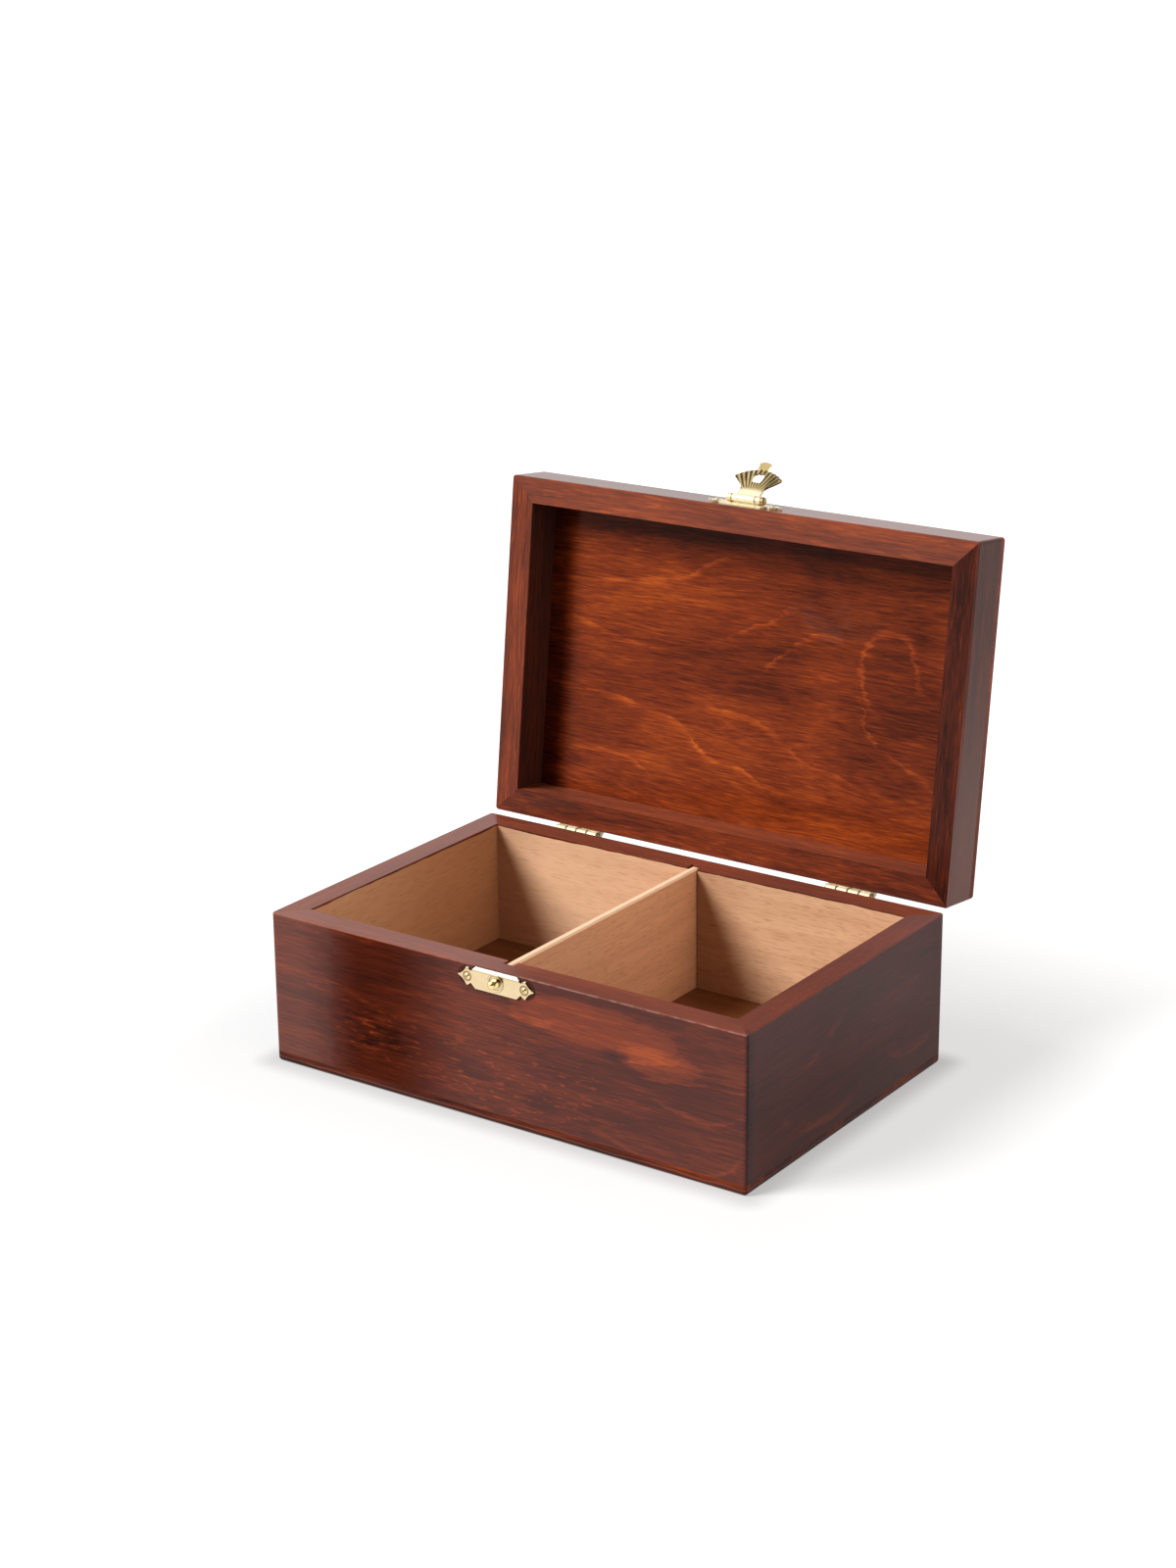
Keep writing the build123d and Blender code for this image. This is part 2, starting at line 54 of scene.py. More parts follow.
wall_low, wall_high = corners("front_wall")
WALL_FRONT = wall_low[1]
RIM = wall_high[2]
INSIDE_X = corners("right_wall")[0][0]          # from the middle to the inner faces
INSIDE_Y = -wall_high[1]
DIVIDER_TOP = corners("divider")[1][2]

# The lid's own axes: across runs from the hinges' side (high) to the clasp's side (low), and
# depth from the rim (low) to the outer face (high).
LID_RIM = corners("lid_back_rail", OPEN_ANGLE)[0][2]
LID_PANEL = corners("lid_top_panel", OPEN_ANGLE)[0][2]
LID_HOLLOW_TOP = corners("lid_front_rail", OPEN_ANGLE)[1][1]
LID_RIGHT = corners("lid_right_rail")[1][0]

plate_low, plate_high = corners("catch_plate")
CATCH_Z = (plate_low[2] + plate_high[2]) / 2
nail_low, nail_high = corners("catch_nails")
NAIL_RADIUS = (nail_high[2] - nail_low[2]) / 2
NAIL_SIDES = (NAIL_RADIUS - nail_high[0], nail_high[0] - NAIL_RADIUS)

KNUCKLES = 4
leaf_low, leaf_high = corners("right_hinge_box_leaf")
HINGE_START = leaf_low[0]
KNUCKLE_PITCH = (leaf_high[0] - leaf_low[0]) / KNUCKLES
KNUCKLE_REACH = 1.55                            # hinge axis to just outside the knuckles
FLUTE_PITCH = 7.8                               # degrees from one flute of the hasp to the next

# --- camera -----------------------------------------------------------------------------------
CAMERA_PLACE = (0.56023, -0.80848, 0.43292)     # metres: a little above, to the front right
CAMERA_TURN = (71.599, 0.507, 34.912)           # degrees
CAMERA_LENS = 67.92                             # millimetres
CAMERA_SENSOR = 36.0
CAMERA_NEAR = 0.01


def make_camera():
    """The camera, and the scene's only one."""
    data = bpy.data.cameras.new("camera")
    data.lens = CAMERA_LENS
    data.sensor_width = CAMERA_SENSOR
    data.clip_start = CAMERA_NEAR
    camera = bpy.data.objects.new("camera", data)
    camera.location = CAMERA_PLACE
    camera.rotation_euler = [math.radians(angle) for angle in CAMERA_TURN]
    bpy.context.scene.collection.objects.link(camera)
    bpy.context.scene.camera = camera


# --- node trees -------------------------------------------------------------------------------
class Graph:
    """The node tree of one material, with short calls for the nodes used here."""

    def __init__(self, name):
        self.material = bpy.data.materials.new(name)
        self.material.use_nodes = True
        self.tree = self.material.node_tree
        self.shader = self.tree.nodes["Principled BSDF"]

    def node(self, kind, **settings):
        made = self.tree.nodes.new(kind)
        for key, value in settings.items():
            setattr(made, key, value)
        return made

    def feed(self, socket, value):
        """Links a socket to an output, or writes a plain value on it."""
        if isinstance(value, bpy.types.NodeSocket):
            self.tree.links.new(value, socket)
        else:
            socket.default_value = value

    def fix(self, **values):
        """Writes plain values on the shader's own sockets, named with _ for each space."""
        for name, value in values.items():
            self.shader.inputs[name.replace("_", " ")].default_value = value

    # numbers
    def math(self, operation, a, b=0.0, c=0.0):
        made = self.node("ShaderNodeMath", operation=operation)
        for socket, value in zip(made.inputs, (a, b, c)):
            self.feed(socket, value)
        return made.outputs[0]

    def plus(self, a, b):
        return self.math("ADD", a, b)

    def minus(self, a, b):
        return self.math("SUBTRACT", a, b)

    def times(self, a, b):
        return self.math("MULTIPLY", a, b)

    def scaled(self, value, factor, start):
        """The start value plus factor times the value."""
        return self.math("MULTIPLY_ADD", value, factor, start)

    def larger(self, a, b):
        return self.math("MAXIMUM", a, b)

    def below(self, value, limit):
        return self.math("LESS_THAN", value, limit)

    def away(self, value, place=0.0):
        """How far a value is from a place."""
        return self.math("ABSOLUTE", self.minus(value, place) if place else value)

    def length(self, a, b):
        return self.math("SQRT", self.plus(self.times(a, a), self.times(b, b)))

    def step(self, value, low, high, to_low=0.0, to_high=1.0):
        """A smooth change from to_low at low to to_high at high."""
        made = self.node("ShaderNodeMapRange", interpolation_type="SMOOTHSTEP")
        self.feed(made.inputs["Value"], value)
        made.inputs["From Min"].default_value = low
        made.inputs["From Max"].default_value = high
        made.inputs["To Min"].default_value = to_low
        made.inputs["To Max"].default_value = to_high
        return made.outputs[0]

    def fall(self, value, low, high, top=1.0):
        """A smooth fall from top at low to nothing at high."""
        return self.step(value, low, high, top, 0.0)

    # places
    def vector(self, operation, a, b=(0.0, 0.0, 0.0)):
        made = self.node("ShaderNodeVectorMath", operation=operation)
        self.feed(made.inputs[0], a)
        self.feed(made.inputs[1], b)
        return made.outputs[0]

    def distance(self, point, place):
        made = self.node("ShaderNodeVectorMath", operation="DISTANCE")
        self.feed(made.inputs[0], point)
        made.inputs[1].default_value = place
        return made.outputs["Value"]

    def stretch(self, point, x, y, z):
        return self.vector("MULTIPLY", point, (x, y, z))

    def split(self, vector):
        made = self.node("ShaderNodeSeparateXYZ")
        self.feed(made.inputs[0], vector)
        return made.outputs

    def object_point(self):
        return self.node("ShaderNodeTexCoord").outputs["Object"]

    def millimetres(self, turn=(0, 0, 0), shift=0.0):
        """The place on the object in millimetres, turned about the origin and moved along X."""
        made = self.node("ShaderNodeMapping")
        self.feed(made.inputs["Vector"], self.object_point())
        made.inputs["Rotation"].default_value = [math.radians(angle) for angle in turn]
        made.inputs["Scale"].default_value = (METRE, METRE, METRE)
        made.inputs["Location"].default_value = (shift, 0.0, 0.0)
        return made.outputs[0]

    def noise(self, point, scale=1.0, detail=2.0, roughness=0.5, output=0):
        """Noise at the point: its level, or three levels at once from the output Color."""
        made = self.node("ShaderNodeTexNoise")
        self.feed(made.inputs["Vector"], point)
        made.inputs["Scale"].default_value = scale
        made.inputs["Detail"].default_value = detail
        made.inputs["Roughness"].default_value = roughness
        return made.outputs[output]

    # colours
    def ramp(self, value, *stops):
        """A colour from stops, each a level and its colour."""
        made = self.node("ShaderNodeValToRGB")
        self.feed(made.inputs[0], value)
        elements = made.color_ramp.elements
        while len(elements) < len(stops):
            elements.new(0.5)
        for element, (place, colour) in zip(elements, stops):
            element.position = place
            element.color = (*colour, 1.0)
        return made.outputs["Color"]

    def mix(self, factor, a, b, blend="MIX"):
        """Colour a where factor is 0 and b where it is 1, or b blended over a in another way."""
        made = self.node("ShaderNodeMix", data_type="RGBA", blend_type=blend)
        self.feed(made.inputs["Factor"], factor)
        colour_sockets = made.inputs[6:8]
        for socket, colour in zip(colour_sockets, (a, b)):
            self.feed(socket, (*colour, 1.0) if isinstance(colour, tuple) else colour)
        return made.outputs[2]

    def bump(self, height, distance, strength):
        made = self.node("ShaderNodeBump")
        made.inputs["Strength"].default_value = strength
        made.inputs["Distance"].default_value = distance
        self.feed(made.inputs["Height"], height)
        return made.outputs["Normal"]


# --- stained boards ---------------------------------------------------------------------------
# Directions of the grain, as turns that lay it along the first axis. A lid board is also turned
# shut, so that its growth lines are drawn on a flat lid.
ALONG_X = (0, 0, 0)
ALONG_Y = (0, 0, 90)
LID_ALONG_X = (OPEN_ANGLE, 0, 0)
LID_ALONG_Y = (OPEN_ANGLE, 0, 90)

STAIN = (
    (0.0, (0.016, 0.0030, 0.0015)),
    (0.3, (0.070, 0.0105, 0.0035)),
    (0.55, (0.172, 0.0268, 0.0058)),
    (0.78, (0.318, 0.056, 0.0085)),
    (1.0, (0.500, 0.115, 0.015)),
)
WEAR_AND_SHEEN = (0.30, 0.135, 0.105)             # worn lacquer and a painted reflection sheen, on rims and edges
SIDE_SHEEN = (0.034, 0.036, 0.042)            # painted grey reflection sheen on the side walls, added to the stain
# painted reflection sheen on the front wall, added to the stain outside its dark zone
FRONT_SHEEN = (0.017, 0.0165, 0.0175)
LEFT_SHEEN = (0.030, 0.016, 0.013)       # warmer painted reflection sheen, at the left end of the front wall
RUBBED_AND_HIGHLIT = (0.5, 0.38, 0.34)              # light line along the front edge: bare wear and a painted highlight
GAP_AND_SHADOW = (0.012, 0.004, 0.003)             # dark line round the catch plate: its joint and a painted contact shadow
# painted pinkish-grey reflection sheen on the lid panel
LID_SHEEN = (0.22, 0.13, 0.11)
# painted grey reflection sheen on the lid's right side
LID_SIDE_SHEEN = (0.28, 0.165, 0.15)
SEAM = (0.20, 0.12, 0.10)               # glue line round the bottom panel
ROUGHNESS = (0.5, 0.38)                 # of the darkest and the lightest stain
COAT_ROUGHNESS = 0.17
COAT_IOR = 1.18
GRAIN_DEPTH = 0.00004                   # metres
GRAIN_STRENGTH = 0.25
APART = (137.0, 41.0, 29.0)             # in the noise, from one board to the next
SWAY = (0.04, 0.06, 0.06), (7.0, 4.0, 4.0)      # how often and how far drawn lines bend
FRAY = (0.16, 0.7, 0.7), (7.0, 1.2, 1.2)        # and how they fray
TRACK_SPAN = 240.0                      # longer than any board
TRACK_BASE = 0.2                        # where a growth line's lowest place lies on its curve
TRACK_FADE = 6.0                        # how far a growth line fades in and out at its ends


class Board(Graph):
    """A stained and lacquered board. Its figure is a tone, 0 for the darkest stain, 1 for orange.

    place is the true place on the board and point the same moved elsewhere in the noise, so that
    no two boards match. along, across and up sway with the grain, for what is drawn on the board.
    """

    def __init__(self, name, turn, seed):
        super().__init__(name)
        self.place = self.millimetres(turn)
        self.point = self.vector("ADD", self.place, tuple(seed * step for step in APART))
        bend = self.vector("ADD", self.wander(*SWAY), self.wander(*FRAY))
        self.along, self.across, self.up = self.split(self.vector("ADD", self.place, bend))
        self.tone = 0.0

    def wander(self, scale, reach):
        """A shift about zero that moves what is drawn off its course."""
        noise = self.noise(self.stretch(self.point, *scale), output="Color")
        return self.stretch(self.vector("SUBTRACT", noise, (0.5, 0.5, 0.5)), *reach)

    def stretched(self, along, across, detail, point=None):
        """Noise drawn out along the grain, about zero."""
        point = self.stretch(point or self.point, along, across, across)
        return self.minus(self.noise(point, detail=detail, roughness=0.6), 0.5)

    def add(self, value, weight):
        """Lightens the tone where value is 1 by weight, or darkens it by a negative weight."""
        self.tone = self.scaled(value, weight, self.tone)

    def figure(self, base, streaks, lines, hairs, clouds, sway=12.0):
        """The wood's own figure: a base tone, and the weights of its long streaks, of its fine
        lines, of the hairs between them and of its broad clouds."""
        bend = self.noise(self.stretch(self.point, 0.006, 0.022, 0.022), output="Color")
        bent = self.vector("ADD", self.point, self.stretch(bend, 0.0, sway, sway))
        self.tone = base
        self.lines = self.stretched(0.06, 1.3, 3.0, bent)
        self.add(self.stretched(0.012, 0.17, 5.0, bent), streaks)
        self.add(self.lines, lines)
        self.add(self.stretched(0.13, 1.9, 2.0), hairs)
        self.add(self.stretched(0.014, 0.026, 2.0), clouds)

    def oval(self, along, across, reach_along, reach_across):
        """How far out in an oval the place is: the two shares of its half axes."""
        a = self.math("DIVIDE", self.minus(self.along, along), reach_along)
        b = self.math("DIVIDE", self.minus(self.across, across), reach_across)
        return a, b

    def patch(self, along, across, reach_along, reach_across):
        """A soft oval spot, 1 at its middle."""
        a, b = self.oval(along, across, reach_along, reach_across)
        return self.fall(self.plus(self.times(a, a), self.times(b, b)), 0.0, 1.0)

    def stroke(self, gap, sharp, soft):
        """A line where gap is zero, with one sharp and one soft side."""
        return self.times(self.step(gap, -sharp, 0.0), self.fall(gap, 0.0, soft))

    def ring(self, along, across, reach_along, reach_across, sharp, soft):
        """A growth line closed round a knot."""
        gap = self.minus(self.length(*self.oval(along, across, reach_along, reach_across)), 1.0)
        return self.stroke(gap, sharp / reach_along, soft / reach_along)

    def track(self, places, sharp, soft):
        """A growth line through the places, which are given along and across in millimetres."""
        low = min(across for _, across in places)
        made = self.node("ShaderNodeFloatCurve")
        curve = made.mapping.curves[0]
        for index, (along, across) in enumerate(places):
            spot = (0.5 + along / TRACK_SPAN, TRACK_BASE + (across - low) / TRACK_SPAN)
            if index in (0, len(places) - 1):
                curve.points[min(index, 1)].location = spot
            else:
                curve.points.new(*spot)
        made.mapping.update()
        self.feed(made.inputs["Value"], self.scaled(self.along, 1 / TRACK_SPAN, 0.5))
        height = self.scaled(self.minus(made.outputs[0], TRACK_BASE), TRACK_SPAN, low)
        line = self.stroke(self.minus(self.across, height), sharp, soft)
        begin, end = places[0][0], places[-1][0]
        ends = self.times(
            self.step(self.along, begin - TRACK_FADE, begin + TRACK_FADE),
            self.fall(self.along, end - TRACK_FADE, end + TRACK_FADE),
        )
        worn = self.step(self.stretched(0.07, 0.1, 2.0), -0.12, 0.08, 0.25, 1.0)
        return self.times(self.times(line, ends), worn)

    def stained(self):
        """The colour of the stain for the tone."""
        return self.ramp(self.tone, *STAIN)

    def lacquered(self, colour, coat=1.0):
        """The finished material, glossier where the tone is light."""
        self.feed(self.shader.inputs["Base Color"], colour)
        self.feed(self.shader.inputs["Roughness"], self.step(self.tone, 0.0, 1.0, *ROUGHNESS))
        self.feed(self.shader.inputs["Coat Weight"], coat)
        self.feed(self.shader.inputs["Normal"], self.bump(self.lines, GRAIN_DEPTH, GRAIN_STRENGTH))
        self.fix(Coat_Roughness=COAT_ROUGHNESS, Coat_IOR=COAT_IOR, Specular_IOR_Level=0.0)
        return self.material


# --- bare beech -------------------------------------------------------------------------------
BEECH_DARK = (0.575, 0.330, 0.190)
BEECH_LIGHT = (0.655, 0.392, 0.232)
BEECH_FLECK = (0.36, 0.18, 0.085)
BEECH_WARM = (0.93, 0.63, 0.41)         # warmer towards the left end
BEECH_SHADE = (0.20, 0.075, 0.028)      # deep in the corners
SHADE = 0.34                            # how deep that shade is
LEFT_TINT = (0.85, 0.74, 0.64)          # the inner face of the left wall, turned from the light
FLOOR_DARK = (0.27, 0.165, 0.095)
FLOOR_LIGHT = (0.38, 0.25, 0.155)
# the divider's beech made lighter all over: painted light for the bounce that falls on it
DIVIDER_BOUNCE_LIGHT = (1.32, 1.30, 1.34)
# the divider's top edge: a painted highlight on its flat part and painted shade on its rounded side
DIVIDER_TOP_LIGHT_AND_SHADE = ((0.0, (1.0, 0.74, 0.52)), (1.0, (0.60, 0.37, 0.215)))
WARM_END = (-90, 50)                    # from left to right, where the warmer beech fades
CORNER_SHADE = (-88, -62)               # where the shade of the left corner fades
DIVIDER_SHADE = (4, 32)                 # and the shade beside the divider
CORNER_DEPTH = (-60, 55)                # from front to back, where the corner's shade grows
TINT_DEPTH = (-60, 50)                  # and a wall's tint
INNER_GRACE = 0.02                      # for the inner faces themselves to count as inside
STAIN_RUN = 1.6                         # how far down the inner faces the stain may run


def beech_colour(graph, point):
    """Beech whose grain runs along the point's first axis, with its small dark flecks."""
    sway = graph.noise(graph.stretch(point, 0.006, 0.03, 0.03), output="Color")
    bent = graph.vector("ADD", point, graph.stretch(sway, 0.0, 14.0, 14.0))
    bands = graph.noise(graph.stretch(bent, 0.008, 0.2, 0.2), detail=3.0)
    colour = graph.ramp(bands, (0.3, BEECH_DARK), (0.7, BEECH_LIGHT))
    flecks = graph.noise(graph.stretch(point, 0.12, 3.3, 3.3), detail=0.0)
    fine = graph.noise(graph.stretch(point, 0.2, 2.3, 2.3), detail=0.0)
    dark = graph.larger(graph.step(flecks, 0.58, 0.72, 0.0, 0.4), graph.step(fine, 0.64, 0.76, 0.0, 0.5))
    return graph.mix(dark, colour, BEECH_FLECK)


def bare(graph, colour):
    """The finished material of a board without lacquer."""
    graph.feed(graph.shader.inputs["Base Color"], colour)
    graph.fix(Roughness=0.5, Specular_IOR_Level=0.3)
    return graph.material


def floor_board():
    """The board inside the box, darker than the walls and with a stronger grain."""
    graph = Graph("beech_floor")
    point = graph.millimetres(shift=11 * APART[0])
    grain = graph.noise(graph.stretch(point, 0.02, 0.45, 0.45), detail=4.0)
    tint = graph.ramp(grain, (0.35, FLOOR_DARK), (0.65, FLOOR_LIGHT))
    return bare(graph, graph.mix(1.0, beech_colour(graph, point), tint, "MULTIPLY"))


def divider_board():
    """The divider: lighter all over with painted light; its top edge has a painted highlight and painted
    shade side by side along its length, and the line between them wanders.
    """
    graph = Graph("beech_divider")
    place = graph.millimetres()
    x, _, z = graph.split(place)
    top = graph.step(z, DIVIDER_TOP - 0.3, DIVIDER_TOP - 0.1, 0.0, 0.85)
    # the wandering line between the painted highlight and the painted shade
    seam = graph.scaled(graph.noise(graph.stretch(place, 0.0, 0.12, 0.0)), 1.2, x)
    edge = graph.ramp(graph.step(seam, 0.3, 1.0), *DIVIDER_TOP_LIGHT_AND_SHADE)
    grain = beech_colour(graph, graph.millimetres(ALONG_Y, 12 * APART[0]))
    # lighter all over: painted bounce light
    face = graph.mix(1.0, grain, DIVIDER_BOUNCE_LIGHT, "MULTIPLY")
    return bare(graph, graph.mix(top, face, edge))


# --- walls of the box -------------------------------------------------------------------------
class Wall(Board):
    """A wall of the box: stained outside and on its rim, bare on its inner face."""

    def __init__(self, name, turn, seed, base=0.33, rim_base=0.2, contrast=1.0):
        super().__init__(name, turn, seed)
        self.across = self.up           # growth lines are drawn on the upright faces
        even = 0.6 * contrast
        self.figure(base, streaks=even, lines=even, hairs=0.75 * even, clouds=0.35)
        self.spot = self.millimetres()
        self.x, self.y, self.z = self.split(self.spot)
        self.rim = self.step(self.z, RIM - 0.6, RIM - 0.2)
        self.add(self.rim, rim_base)

    def beech_inside(self, tint):
        """The inner face: warmer to the left, shaded in the far left corner and to the right of
        the divider, and tinted towards the back."""
        grain = beech_colour(self, self.point)
        colour = self.mix(self.fall(self.x, *WARM_END, 0.27), grain, BEECH_WARM)
        corner = self.times(self.fall(self.x, *CORNER_SHADE, SHADE), self.step(self.y, *CORNER_DEPTH))
        beside = self.times(self.step(self.x, 0, 1), self.fall(self.x, *DIVIDER_SHADE, SHADE))
        colour = self.mix(self.larger(corner, beside), colour, BEECH_SHADE)
        if tint is None:
            return colour
        tinted = self.mix(1.0, colour, tint, "MULTIPLY")
        return self.mix(self.step(self.y, *TINT_DEPTH, 0.1, 0.95), colour, tinted)

    def finished(self, colour, coat=1.0, tint=None):
        """The stain outside and bare wood inside, where the stain runs a little over the rim."""
        within = self.times(
            self.below(self.away(self.x), INSIDE_X + INNER_GRACE),
            self.below(self.away(self.y), INSIDE_Y + INNER_GRACE),
        )
        stain_line = self.scaled(self.noise(self.spot, scale=0.06, detail=3.0), -STAIN_RUN, RIM)
        inner = self.times(within, self.below(self.z, stain_line))
        coat = self.times(self.minus(1.0, inner), coat)
        return self.lacquered(self.mix(inner, colour, self.beech_inside(tint)), coat)


def plain_wall(wall, wear_and_sheen, painted_sheen=0.0, tint=None):
    """A wall with a speckled rim; the first number is how much worn lacquer and painted reflection sheen
    its rim shows, the second how much painted reflection sheen its outer face shows.
    """
    speckle = wall.step(wall.noise(wall.point, scale=1.3), 0.60, 0.68, 0.0, 0.3)
    wall.add(wall.times(wall.rim, speckle), 0.5)
    colour = wall.mix(wall.times(wall.rim, wear_and_sheen), wall.stained(), WEAR_AND_SHEEN)
    colour = wall.mix(painted_sheen, colour, SIDE_SHEEN, "ADD")
    return wall.finished(colour, tint=tint)


# Growth lines of the right wall, as places along and up the wall.
RIGHT_TRACKS = (
    [(4, 42.5), (24, 40), (43, 35.5)],
    [(-60, 13.5), (-44, 16), (-28, 17)],
    [(-23, 15), (11, 18.5), (42, 16.5)],
)
FRONT_CORNER_SHADE = (-60, -64)               # from back to front, where painted shade darkens a side wall
SHEEN_DEPTH = (-30, 60)                  # from front to back, where its painted reflection sheen grows
SHEEN_GROWTH = 2.3                       # to so many times the painted sheen at the front


def side_wall(wall, wear_and_sheen, painted_sheen, tint=None, tracks=()):
    """A side wall, darkened along its front corner with painted shade, and with more painted reflection
    sheen towards the back.
    """
    for places in tracks:
        wall.add(wall.track(places, 1.0, 5.0), 0.17)
    # painted shade along the front corner
    wall.add(wall.step(wall.y, *FRONT_CORNER_SHADE), -0.15)
    sheen_level = wall.step(wall.y, *SHEEN_DEPTH, painted_sheen, SHEEN_GROWTH * painted_sheen)
    return plain_wall(wall, wear_and_sheen, sheen_level, tint)


# Growth lines of the front wall: places, sharp side, soft side, weight.
FRONT_TRACKS = (
    ([(-100, 38.5), (-85, 36.5), (-66, 35), (-51, 33)], 0.8, 3.0, 0.22),
    ([(-22, 47), (-8, 44), (6, 42.5), (22, 43)], 1.0, 4.0, 0.22),
    ([(50, 36), (58, 37.5), (66, 39.5), (74, 41)], 0.5, 2.5, 0.2),
    ([(58, 33), (72, 33.5), (86, 35.5), (100, 38)], 0.6, 1.8, 0.2),
    ([(62, 25.4), (80, 26.5), (100, 28.8)], 0.6, 1.8, 0.16),
    ([(38, 8.5), (70, 10), (100, 12.6)], 0.6, 2.2, 0.16),
)
# Light flames with an edge, and dark spots: along, across, half length, half height.
FLAMES = ((40, 46.5, 44, 10.0), (66, 39.5, 22, 6.5))
DARK_SPOTS = (((49, 38, 7, 3.0), -0.2), ((-10, 18, 10, 5), -0.12), ((18, 12, 9, 5), -0.1))
FLECKED = ((8, 18, 60, 20), (-52, 22, 26, 17))
GLOWING = (-54, 22, 24, 14)
# Stretches of the front wall over which its look changes, from left to right.
ZONE_BEGIN = (-86, -60)
ZONE_END = (-48, -8)
# where the front's painted reflection sheen grows towards the left end
SHEEN_END = (-86, -70)
LEFT_END = (-90, -72)
# where the rim's worn lacquer and painted reflection sheen thin out
RIM_WEAR_AND_SHEEN = (-20, 40)
# over which the worn and highlit front edge grows stronger
EDGE_WEAR_AND_HIGHLIGHT = (-35, 20)

PLATE_BODY = (8.8, 2.7)                 # half length and half height, inside its rounding
PLATE_ROUNDING = 1.3
PLATE_LOBE = 12.8                       # middle of the plate to the middle of a lobe
PLATE_LOBE_RADIUS = 3.1


def plate_gap_and_shadow(wall):
    """The dark line on the wood round the catch plate, its joint and a painted contact shadow, following
    a long body with a lobe at each end.
    """
    side = wall.away(wall.x)
    high = wall.away(wall.z, CATCH_Z)
    wide = wall.larger(wall.minus(side, PLATE_BODY[0]), 0.0)
    tall = wall.larger(wall.minus(high, PLATE_BODY[1]), 0.0)
    body = wall.minus(wall.length(wide, tall), PLATE_ROUNDING)
    lobe = wall.minus(wall.length(wall.minus(side, PLATE_LOBE), high), PLATE_LOBE_RADIUS)
    gap = wall.fall(wall.math("MINIMUM", body, lobe), 0.1, 0.7, 0.6)
    return wall.times(gap, wall.fall(wall.y, WALL_FRONT + 0.15, WALL_FRONT + 0.45))


def worn_and_highlit_edge(wall):
    """The thin light line along the upper front edge, partly wear and partly a painted highlight, broken
    in places.
    """
    line = wall.times(
        wall.fall(wall.away(wall.z, RIM - 0.3), 0.0, 0.4),
        wall.step(wall.y, WALL_FRONT + 0.75, WALL_FRONT + 0.55),
    )
    worn = wall.step(wall.stretched(0.25, 0.5, 3.0), -0.08, 0.05)
    return wall.times(wall.times(line, worn), wall.step(wall.x, *EDGE_WEAR_AND_HIGHLIGHT, 0.25, 1.0))


def front_figure(wall):
    """Draws the growth lines, flames, dark spots, flecks and glow on the front wall."""
    for places, sharp, soft, weight in FRONT_TRACKS:
        wall.add(wall.track(places, sharp, soft), weight)
    for place in FLAMES:
        flame = wall.patch(*place)
        wall.add(flame, 0.15)
        wall.add(wall.step(flame, 0.30, 0.36), 0.08)
    for place, weight in DARK_SPOTS:
        wall.add(wall.patch(*place), weight)
    flecks = wall.step(wall.stretched(0.22, 0.9, 1.0), 0.11, 0.2)
    field = wall.larger(*(wall.patch(*place) for place in FLECKED))
    wall.add(wall.times(flecks, field), 0.24)
    wall.add(wall.times(wall.patch(*GLOWING), wall.stretched(0.08, 0.5, 3.0)), 1.2)


def front_wall():
    """The front wall, with a dark reddish zone left of the catch that has a thinner coat and none of the
    painted reflection sheen laid over the rest.
    """
    wall = Wall("stain_front", ALONG_X, 1, contrast=0.78)
    zone = wall.times(wall.step(wall.along, *ZONE_BEGIN), wall.fall(wall.along, *ZONE_END))
    zone = wall.times(zone, wall.minus(1.0, wall.rim))
    wall.add(zone, -0.09)
    front_figure(wall)
    # the rim's worn lacquer and painted reflection sheen, thinning to the right
    rim_wear_and_sheen = wall.times(wall.rim, wall.step(wall.along, *RIM_WEAR_AND_SHEEN, 0.3, 0.18))
    colour = wall.mix(rim_wear_and_sheen, wall.stained(), WEAR_AND_SHEEN)
    # painted reflection sheen, strongest at the left end and left out of the dark zone
    painted_sheen = wall.plus(wall.fall(wall.along, *SHEEN_END, 1.5), wall.minus(1.0, zone))
    colour = wall.mix(painted_sheen, colour, FRONT_SHEEN, "ADD")
    colour = wall.mix(wall.fall(wall.along, *LEFT_END), colour, LEFT_SHEEN, "ADD")
    colour = wall.mix(wall.times(worn_and_highlit_edge(wall), 0.22), colour, RUBBED_AND_HIGHLIT)
    colour = wall.mix(plate_gap_and_shadow(wall), colour, GAP_AND_SHADOW)
    return wall.finished(colour, wall.scaled(zone, -0.8, 1.0))


SEAM_HEIGHT = 2.1                       # above the table


def bottom_panel():
    """The panel under the walls, darker along its rounded lower edge with painted shade, and with the
    wavering glue line between its layers.
    """
    board = Board("stain_bottom", ALONG_X, 5)
    board.figure(0.2, streaks=1.0, lines=0.6, hairs=0.4, clouds=0.5)
    height = board.split(board.place)[2]
    # painted shade: darker on the lowest 1.4 mm, the rounded lower edge that faces down
    board.add(board.step(height, 1.4, 2.4), 0.12)
    wave = board.scaled(board.stretched(0.05, 0.1, 2.0), 1.2, height)
    seam = board.fall(board.away(wave, SEAM_HEIGHT), 0.0, 0.35, 0.35)
    return board.lacquered(board.mix(seam, board.stained(), SEAM))


